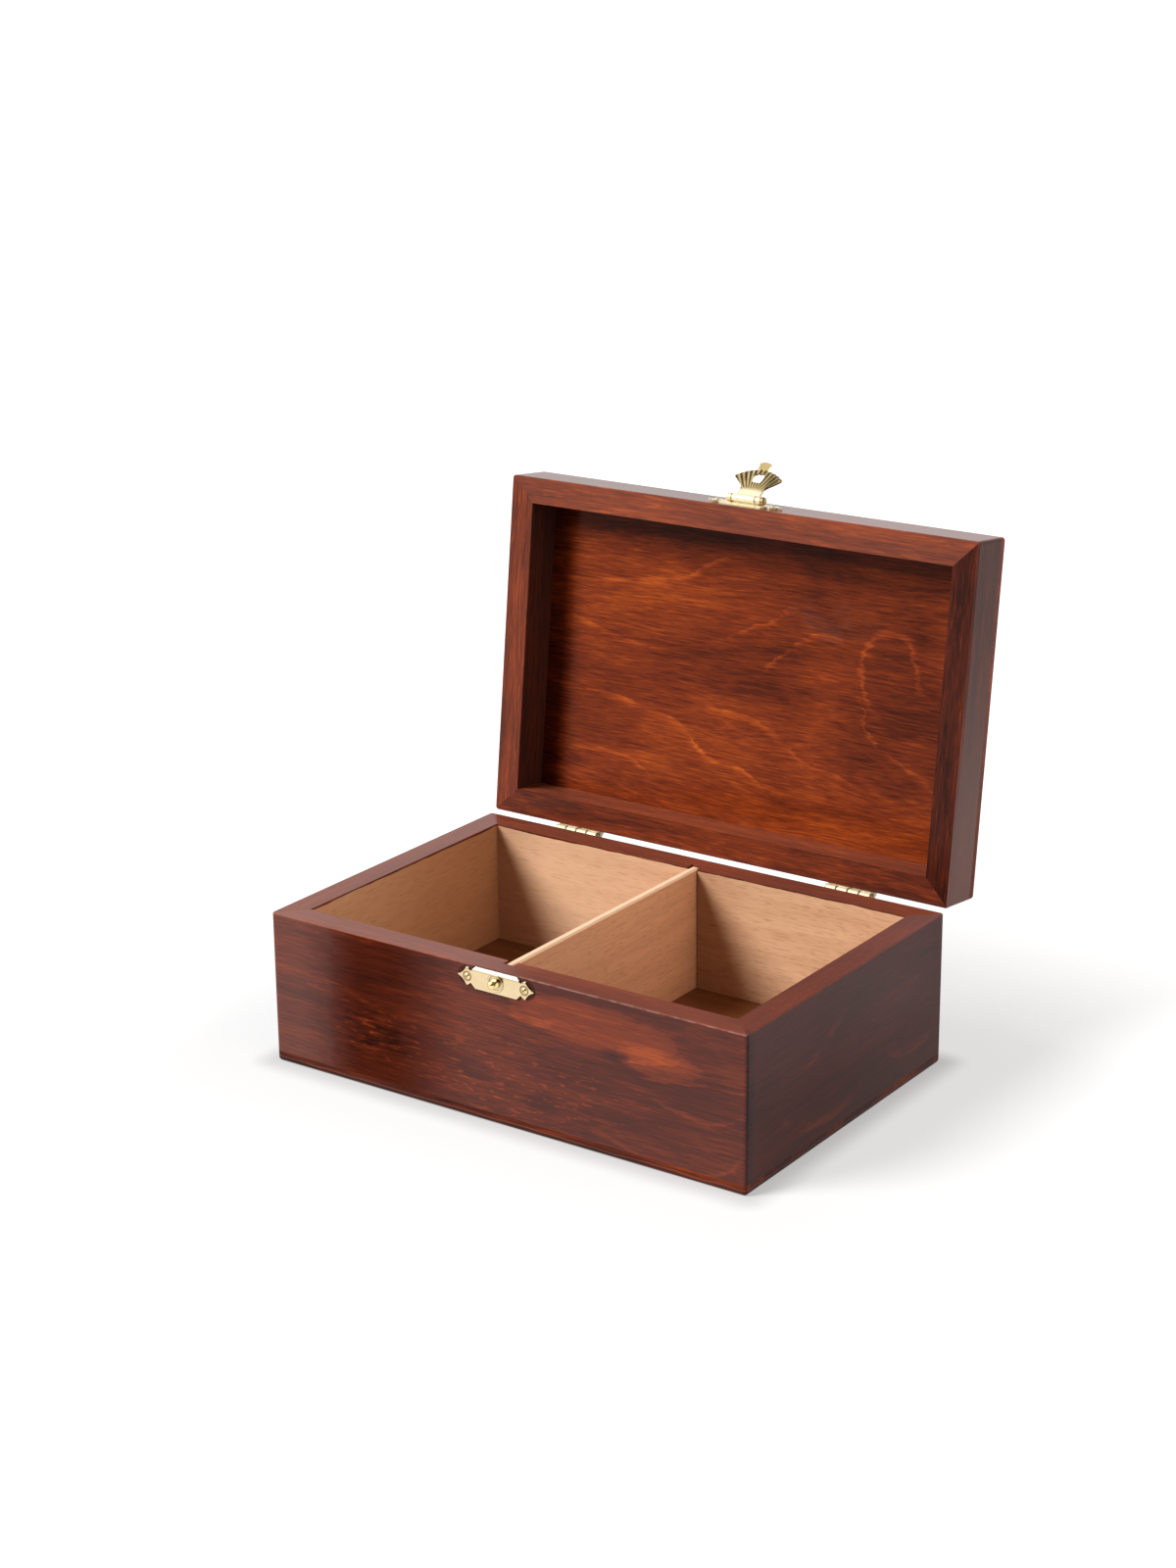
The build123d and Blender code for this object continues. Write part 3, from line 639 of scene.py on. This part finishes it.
# --- lid --------------------------------------------------------------------------------------
# Growth lines of the lid's inner face: weight, places along and across in the lid's own axes.
LID_TRACKS = (
    (
        0.255,
        [(-84, -117), (-53, -114), (-35, -112), (-24, -107), (-19, -102), (-7, -98), (2, -97), (10, -92)],
    ),
    (0.195, [(-20, -119), (0, -117.5), (10, -114.5), (18, -110), (25, -105.5), (35, -102), (47, -100)]),
    (0.27, [(47, -134), (50, -127), (56.5, -116.5), (64, -112), (71, -109), (79, -106)]),
    (0.225, [(-84, -159), (-56, -163), (-27, -167), (-10, -175)]),
    (0.195, [(-84, -146), (-58, -140), (-43, -138), (-12, -144.5), (-3, -149), (11, -156), (19, -161)]),
    (0.165, [(-80, -148), (-55, -153)]),
    (0.255, [(8, -136), (26, -145), (40, -152)]),
    (0.165, [(-82, -93), (-60, -90), (-38, -88)]),
)
# Ovals as along, across, half length and half height.
KNOT = (60, -141, 11.5, 15.5)
# where a painted reflection sheen lies on the lid panel
LID_SHEEN_SPOT = (35, -157, 24, 12)
LID_PATCHES = (((0, -85, 110, 30), 0.08), ((40, -162, 58, 26), -0.12), ((70, -114, 40, 44), -0.15))
LID_LEFT_SHADE = (-90, -74)
LID_TOP_SHADE = (LID_HOLLOW_TOP - 0.1, LID_HOLLOW_TOP + 10.4)
LID_PANEL_SIDE = (LID_PANEL + 0.3, LID_PANEL + 1.1)     # in depth, behind the inner face


def lid_panel():
    """The lid's panel. On its inner face only are growth lines, shade and a ring round a knot,
    open towards the hinges."""
    board = Board("stain_lid_panel", LID_ALONG_X, 10)
    board.figure(0.525, streaks=0.55, lines=0.6, hairs=0.6, clouds=0.75, sway=22.0)
    figure, board.tone = board.tone, 0.0
    for weight, places in LID_TRACKS:
        board.add(board.track(places, 0.6, 2.8), weight)
    ring = board.ring(*KNOT, sharp=1.2, soft=2.2)
    drawn_part = board.fall(board.scaled(board.along, 0.5, board.across), -108, -98)
    board.add(board.times(ring, drawn_part), 0.2)
    for place, weight in LID_PATCHES:
        board.add(board.patch(*place), weight)
    x, across, depth = board.split(board.place)
    board.add(board.fall(x, *LID_LEFT_SHADE), -0.26)
    board.add(board.fall(across, *LID_TOP_SHADE), -0.12)
    inner_face = board.fall(depth, *LID_PANEL_SIDE)
    board.tone = board.scaled(board.tone, inner_face, figure)
    # a painted reflection sheen, broken up by a cloud
    cloud = board.step(board.stretched(0.08, 0.12, 3.0), -0.1, 0.12, 0.0, 0.06)
    painted_sheen = board.times(board.patch(*LID_SHEEN_SPOT), cloud)
    return board.lacquered(board.mix(painted_sheen, board.stained(), LID_SHEEN))


class Rail(Board):
    """A rail of the lid; inner is how much lighter its face inside the lid is than its rim."""

    def __init__(self, name, turn, seed, base, inner):
        super().__init__(name, turn, seed)
        self.figure(base, streaks=0.9, lines=0.7, hairs=0.6, clouds=0.4)
        self.add(self.step(self.stretched(0.12, 0.9, 1.0), 0.13, 0.2), 0.14)
        depth = self.split(self.place)[2]
        self.inside = self.step(depth, LID_RIM + 0.3, LID_RIM + 1.0)
        self.add(self.inside, inner)

    def with_wear_and_sheen(self, wear_and_sheen):
        """The stain under worn lacquer and a painted reflection sheen."""
        return self.mix(wear_and_sheen, self.stained(), WEAR_AND_SHEEN)


def lid_front_rail():
    """The rail at the clasp, under an even veil of worn lacquer and painted reflection sheen."""
    rail = Rail("stain_lid_front", LID_ALONG_X, 6, base=0.50, inner=-0.1)
    return rail.lacquered(rail.with_wear_and_sheen(0.2))


def lid_back_rail():
    """The rail at the hinges: off its rim it is lighter and more veiled, a painted reflection on its
    inner face, which faces up in the open lid.
    """
    rail = Rail("stain_lid_back", LID_ALONG_X, 7, base=0.40, inner=0.17)
    return rail.lacquered(rail.with_wear_and_sheen(rail.scaled(rail.inside, 0.14, 0.07)))


def lid_left_rail():
    """The rail at the left, nearly without lacquer off its rim and darker there, painted shade for its
    shaded inner face.
    """
    rail = Rail("stain_lid_left", LID_ALONG_Y, 8, base=0.45, inner=-0.35)
    return rail.lacquered(rail.with_wear_and_sheen(0.12), rail.scaled(rail.inside, -0.8, 1.0))


def lid_right_rail():
    """The rail at the right, whose outer side has a painted grey reflection sheen, stronger towards the
    hinges.
    """
    rail = Rail("stain_lid_right", LID_ALONG_Y, 9, base=0.17, inner=0.0)
    x, _, z = rail.split(rail.millimetres())
    side = rail.step(x, LID_RIGHT - 1.0, LID_RIGHT - 0.2)
    side = rail.times(side, rail.step(z, 60, 160, 0.56, 0.1))
    return rail.lacquered(rail.mix(side, rail.with_wear_and_sheen(0.03), LID_SIDE_SHEEN))


# --- brass ------------------------------------------------------------------------------------
GOLD = ((0.89, 0.68, 0.31), (0.96, 0.76, 0.38))
STAMPED_GOLD = ((0.76, 0.60, 0.36), (0.82, 0.66, 0.41))
PALE_GOLD = ((0.86, 0.72, 0.44), (0.93, 0.80, 0.52))
# tarnish, also the colour towards which painted shade darkens the brass
TARNISH_AND_SHADE = (0.16, 0.09, 0.035)
CLOUD = (0.3, 0.7)                      # noise levels of the first and the second shade
POLISH = (0.13, 0.20)                   # their roughness
# painted highlight on the catch plate's bevel, made less metallic
BEVEL_HIGHLIGHT = (1.0, 0.96, 0.86)
# painted highlight on the hasp's neck, made less metallic
NECK_HIGHLIGHT = (0.96, 0.86, 0.60)
BEVEL = CATCH_Z + 2.9                   # lower edge of the bevel on the catch plate
PLATE_MARKS = WALL_FRONT - 1.05         # centre of the rings on the catch plate
KNOB_MARK = WALL_FRONT - 1.25           # centre of the ring round the knob's foot
NAIL_MARK = WALL_FRONT - 1.3            # centre of a nail's head


class Brass(Graph):
    """Polished brass with a soft cloud of two shades; dull is how far it is darkened towards the tarnish
    colour, up to 1, by tarnish and by painted shade.
    """

    def __init__(self, name, shades=GOLD, dull=0.0):
        super().__init__(name)
        self.point = self.millimetres()
        self.x, self.y, self.z = self.split(self.point)
        self.cloud = self.noise(self.point, scale=0.35, detail=3.0)
        self.colour = self.ramp(self.cloud, *zip(CLOUD, shades))
        self.dull = dull

    def darken(self, value):
        """Darkens the brass towards the tarnish colour by value, for tarnish and painted shade alike,
        where it isn't darker already.
        """
        self.dull = self.larger(value, self.dull)

    def line(self, gap, core, edge, weight):
        """A dull line where gap is zero, full within core and gone at edge."""
        self.darken(self.fall(gap, core, edge, weight))

    def ring(self, place, radius, width, weight):
        """A dull ring about a place; a radius of 0 makes it a spot."""
        gap = self.away(self.distance(self.point, place), radius)
        self.line(gap, 0.3 * width, width, weight)

    def finished(self, rough=0.0, metallic=1.0):
        """The finished material; rough is how much rougher it is than polished brass."""
        self.feed(self.shader.inputs["Base Color"], self.mix(self.dull, self.colour, TARNISH_AND_SHADE))
        self.feed(self.shader.inputs["Metallic"], metallic)
        roughness = self.step(self.cloud, *CLOUD, *(level + rough for level in POLISH))
        self.feed(self.shader.inputs["Roughness"], roughness)
        return self.material


def catch_brass():
    """The catch plate: rings round its nails and its knob, and a painted highlight on the bevel beside
    the rim.
    """
    metal = Brass("catch_brass", STAMPED_GOLD)
    for side in NAIL_SIDES:
        metal.ring((side, PLATE_MARKS, CATCH_Z), radius=1.6, width=0.45, weight=0.8)
    metal.ring((0.0, PLATE_MARKS, CATCH_Z), radius=3.35, width=0.3, weight=0.35)
    metal.ring((0.0, PLATE_MARKS, CATCH_Z), radius=2.55, width=0.3, weight=0.4)
    metal.line(metal.away(metal.z, BEVEL - 0.3), 0.05, 0.3, 0.4)
    # painted highlight on the bevel
    bevel = metal.step(metal.z, BEVEL, BEVEL + 0.1)
    metal.colour = metal.mix(bevel, metal.colour, BEVEL_HIGHLIGHT)
    return metal.finished(metallic=metal.scaled(bevel, -0.8, 1.0))


def knob_brass():
    """The knob, dull round its foot."""
    metal = Brass("knob_brass")
    metal.ring((0.0, KNOB_MARK, CATCH_Z), radius=1.95, width=0.5, weight=0.75)
    return metal.finished(rough=0.02)


def nail_brass():
    """The nails of the catch plate, with a dark spot on each head."""
    metal = Brass("nail_brass")
    for side in NAIL_SIDES:
        metal.ring((side, NAIL_MARK, CATCH_Z), radius=0.0, width=0.75, weight=0.9)
    return metal.finished(rough=0.05)


def hinge_brass():
    """The hinges, with painted shade in the gaps between their knuckles."""
    metal = Brass("hinge_brass", PALE_GOLD)
    share = metal.math("DIVIDE", metal.minus(metal.away(metal.x), HINGE_START), KNUCKLE_PITCH)
    gap = metal.times(metal.away(metal.minus(share, metal.math("ROUND", share))), KNUCKLE_PITCH)
    axis = metal.distance(metal.stretch(metal.point, 0.0, 1.0, 1.0), joint_place("lid_hinge"))
    barrel = metal.below(axis, KNUCKLE_REACH)
    # painted shade in the gaps between the knuckles
    metal.darken(metal.times(metal.fall(gap, 0.15, 0.65, 0.9), barrel))
    return metal.finished(rough=0.16, metallic=0.45)


CLASP_WAIST = 10.4                      # from its middle
CLASP_TIP = 14.1


def clasp_brass():
    """The clasp plate, with a dull waist and tip at each ornamental end."""
    metal = Brass("clasp_brass", PALE_GOLD)
    side = metal.away(metal.x)
    metal.line(metal.away(side, CLASP_WAIST), 0.1, 0.6, 0.6)
    metal.line(metal.away(side, CLASP_TIP), 0.1, 0.5, 0.6)
    return metal.finished(rough=0.12, metallic=0.6)


# The hasp's parts, as distances from its pivot.
FAN_START = (5.6, 7.2)
FAN_END = (14.4, 15.2)
NECK_END = (4.4, 6.4)
# painted shade in the crease between the neck and the barrel
NECK_LINE = 1.75
KNUCKLE_END = (4.55, 4.85)              # to each side of its middle; beyond, painted shade in the gaps at the knuckle's ends


def hasp_brass():
    """The shell hasp: painted shade in its flutes beyond a painted highlight on its neck, and painted
    shade in the crease above the barrel and at the knuckle's ends.
    """
    metal = Brass("hasp_brass")
    pivot = joint_place("hasp_pivot", -HASP_TILT)
    x, along, _ = metal.split(metal.millimetres((-HASP_TILT, 0, 0)))
    reach = metal.minus(along, pivot.y)
    angle = metal.math("ARCTAN2", x, reach)
    wave = metal.math("COSINE", metal.times(angle, 360 / FLUTE_PITCH))
    fan = metal.step(metal.length(x, reach), *FAN_START)
    fan = metal.times(fan, metal.fall(reach, *FAN_END))
    flute = metal.times(metal.step(wave, -0.5, 0.5), metal.step(x, -3.0, 3.0, 0.58, 0.32))
    flute = metal.plus(flute, metal.step(x, -2.0, 4.0, 0.03, 0.04))
    # painted shade in the flutes, heavier to the left
    metal.darken(metal.times(flute, fan))
    metal.line(metal.away(reach, NECK_LINE), 0.15, 0.45, 0.55)
    metal.darken(metal.step(metal.away(x), *KNUCKLE_END, 0.0, 0.6))
    neck = metal.fall(reach, *NECK_END)
    metal.colour = metal.mix(neck, metal.colour, NECK_HIGHLIGHT)
    return metal.finished(rough=0.05, metallic=metal.scaled(neck, -0.6, 1.0))


# --- which node gets which material -----------------------------------------------------------
def give(name, material):
    """Makes the material a node's only one."""
    slots = nodes[name].data.materials
    slots.clear()
    slots.append(material)


def dress_wood():
    """The boards of the box and its lid. Each has a seed of its own, from 1 to 12."""
    back = Wall("stain_back", ALONG_X, 2)
    left = Wall("stain_left", ALONG_Y, 3, base=0.34, rim_base=0.15, contrast=0.8)
    right = Wall("stain_right", ALONG_Y, 4, base=0.22, rim_base=0.17, contrast=0.5)
    give("front_wall", front_wall())
    give("back_wall", plain_wall(back, wear_and_sheen=0.2))
    give("left_wall", side_wall(left, wear_and_sheen=0.38, painted_sheen=0.15, tint=LEFT_TINT))
    give("right_wall", side_wall(right, wear_and_sheen=0.16, painted_sheen=0.38, tracks=RIGHT_TRACKS))
    give("bottom_panel", bottom_panel())
    give("floor_board", floor_board())
    give("divider", divider_board())
    give("lid_top_panel", lid_panel())
    give("lid_front_rail", lid_front_rail())
    give("lid_back_rail", lid_back_rail())
    give("lid_left_rail", lid_left_rail())
    give("lid_right_rail", lid_right_rail())


def dress_fittings():
    """The hinges, the clasp, the catch and their small parts."""
    tarnished = Brass("tarnished_brass", dull=0.6).finished(rough=0.1)
    hinge = hinge_brass()
    clasp = clasp_brass()
    for name in nodes:
        if "pin" in name or "screws" in name:
            give(name, tarnished)
        elif "hinge" in name:
            give(name, hinge)
        elif "clasp" in name:
            give(name, clasp)
    give("catch_plate", catch_brass())
    give("catch_knob", knob_brass())
    give("catch_nails", nail_brass())
    give("shell_hasp", hasp_brass())


# --- floor, room and lamps --------------------------------------------------------------------
WHITE = (1.0, 1.0, 1.0)
KEY_FROM = Vector((-0.72, -0.92, 0.88)).normalized()
KEY_STRENGTH = 4.5
KEY_ANGLE = 26.0                        # degrees across: the softness of its shadows
FILL_FROM = Vector((0.88, 0.0, 0.48)).normalized()
FILL_STRENGTH = 1.35
FILL_ANGLE = 60.0
FILL_COLOUR = (1.0, 0.84, 0.72)
WORLD_FILL = 0.08
ROOM_ACROSS = (-0.95, -0.1)             # from left to right, where the mirrored room darkens
ROOM_GLOW = (1.3, 0.12)                 # of its left and its right
BACKDROP_START = (0.0, 0.25)            # towards the back, where the backdrop sets in
BACKDROP_TOP = (0.55, 0.8)              # upwards, where it ends
PANEL_EDGE = (0.85, 0.90)               # cosines of its reach about the key light
PANEL_GLOW = 2.6
FLOOR_SIZE = 6.0                        # metres from its middle to its sides
FLOOR_GREY = (0.62, 0.62, 0.62)         # for the light that it bounces on the box
FLOOR_SEEN = (0.3, 0.3, 0.3)            # what the camera sees lit, under the glow below
FLOOR_MIRRORED = 0.45                   # glow of the floor in metal and glass
FLOOR_NEAR = 0.66                       # glow close to the box, 1 farther out: dimmer near the box, a painted shade that fades the shadow out with distance
FLOOR_FOOT = 0.64                       # and once more at its foot, a painted contact shade
NEAR_REACH = (0.015, 0.17)              # metres from the box over which those fade
FOOT_REACH = (0.0, 0.012)


def make_floor():
    """A white floor that keeps the box's shadow: part lit, part glowing for the camera, with its glow
    dimmed near the box as painted shade.
    """
    mesh = bpy.data.meshes.new("floor")
    places = [(x * FLOOR_SIZE, y * FLOOR_SIZE, 0) for x, y in ((-1, -1), (1, -1), (1, 1), (-1, 1))]
    mesh.from_pydata(places, [], [(0, 1, 2, 3)])
    floor = bpy.data.objects.new("floor", mesh)
    bpy.context.scene.collection.objects.link(floor)
    graph = Graph("floor_white")
    graph.fix(Roughness=0.9, Specular_IOR_Level=0.0, Emission_Color=(*WHITE, 1.0))
    path = graph.node("ShaderNodeLightPath").outputs
    colour = graph.mix(path["Is Camera Ray"], FLOOR_GREY, FLOOR_SEEN)
    graph.feed(graph.shader.inputs["Base Color"], colour)
    footprint = (*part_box("bottom_panel")[1][:2], 0.0)
    beyond = graph.vector("SUBTRACT", graph.vector("ABSOLUTE", graph.object_point()), footprint)
    away = graph.distance(graph.vector("MAXIMUM", beyond), (0.0, 0.0, 0.0))
    near = graph.step(away, *NEAR_REACH, FLOOR_NEAR, 1.0)
    foot = graph.step(away, *FOOT_REACH, FLOOR_FOOT, 1.0)
    glow = graph.times(path["Is Camera Ray"], graph.times(near, foot))
    mirrored = graph.larger(path["Is Glossy Ray"], path["Is Transmission Ray"])
    glow = graph.scaled(mirrored, FLOOR_MIRRORED, glow)
    graph.feed(graph.shader.inputs["Emission Strength"], glow)
    mesh.materials.append(graph.material)


class WorldGraph(Graph):
    """The node tree of the world."""

    def __init__(self):
        world = bpy.data.worlds.new("world")
        bpy.context.scene.world = world
        world.use_nodes = True
        self.tree = world.node_tree
        self.background = self.tree.nodes["Background"]


def make_world():
    """White for the camera and through glass. Mirrors show a white backdrop, a soft panel about
    the key light and a grey room that darkens to the right; the rest gets a little fill."""
    graph = WorldGraph()
    direction = graph.node("ShaderNodeTexCoord").outputs["Generated"]
    x, y, z = graph.split(direction)
    room = graph.step(x, *ROOM_ACROSS, *ROOM_GLOW)
    backdrop = graph.times(graph.step(y, *BACKDROP_START), graph.fall(z, *BACKDROP_TOP))
    toward = graph.node("ShaderNodeVectorMath", operation="DOT_PRODUCT")
    graph.feed(toward.inputs[0], direction)
    toward.inputs[1].default_value = KEY_FROM
    panel = graph.step(toward.outputs["Value"], *PANEL_EDGE, 0.0, PANEL_GLOW)
    mirrored = graph.larger(graph.larger(room, backdrop), panel)
    path = graph.node("ShaderNodeLightPath").outputs
    direct = graph.larger(path["Is Camera Ray"], path["Is Transmission Ray"])
    other = graph.minus(1.0, graph.larger(path["Is Glossy Ray"], direct))
    level = graph.scaled(path["Is Glossy Ray"], mirrored, direct)
    level = graph.scaled(other, WORLD_FILL, level)
    graph.feed(graph.background.inputs["Color"], (*WHITE, 1.0))
    graph.feed(graph.background.inputs["Strength"], level)


def make_sun(name, toward, strength, angle, colour):
    """A far soft light; mirrors show the world's panels in its place."""
    data = bpy.data.lights.new(name, "SUN")
    data.energy = strength
    data.angle = math.radians(angle)
    data.color = colour
    lamp = bpy.data.objects.new(name, data)
    lamp.rotation_euler = toward.to_track_quat("Z", "Y").to_euler()
    lamp.visible_glossy = False
    bpy.context.scene.collection.objects.link(lamp)


make_camera()
dress_wood()
dress_fittings()
make_floor()
make_world()
make_sun("key", KEY_FROM, KEY_STRENGTH, KEY_ANGLE, WHITE)
make_sun("fill", FILL_FROM, FILL_STRENGTH, FILL_ANGLE, FILL_COLOUR)
bpy.context.scene.view_settings.view_transform = "Standard"
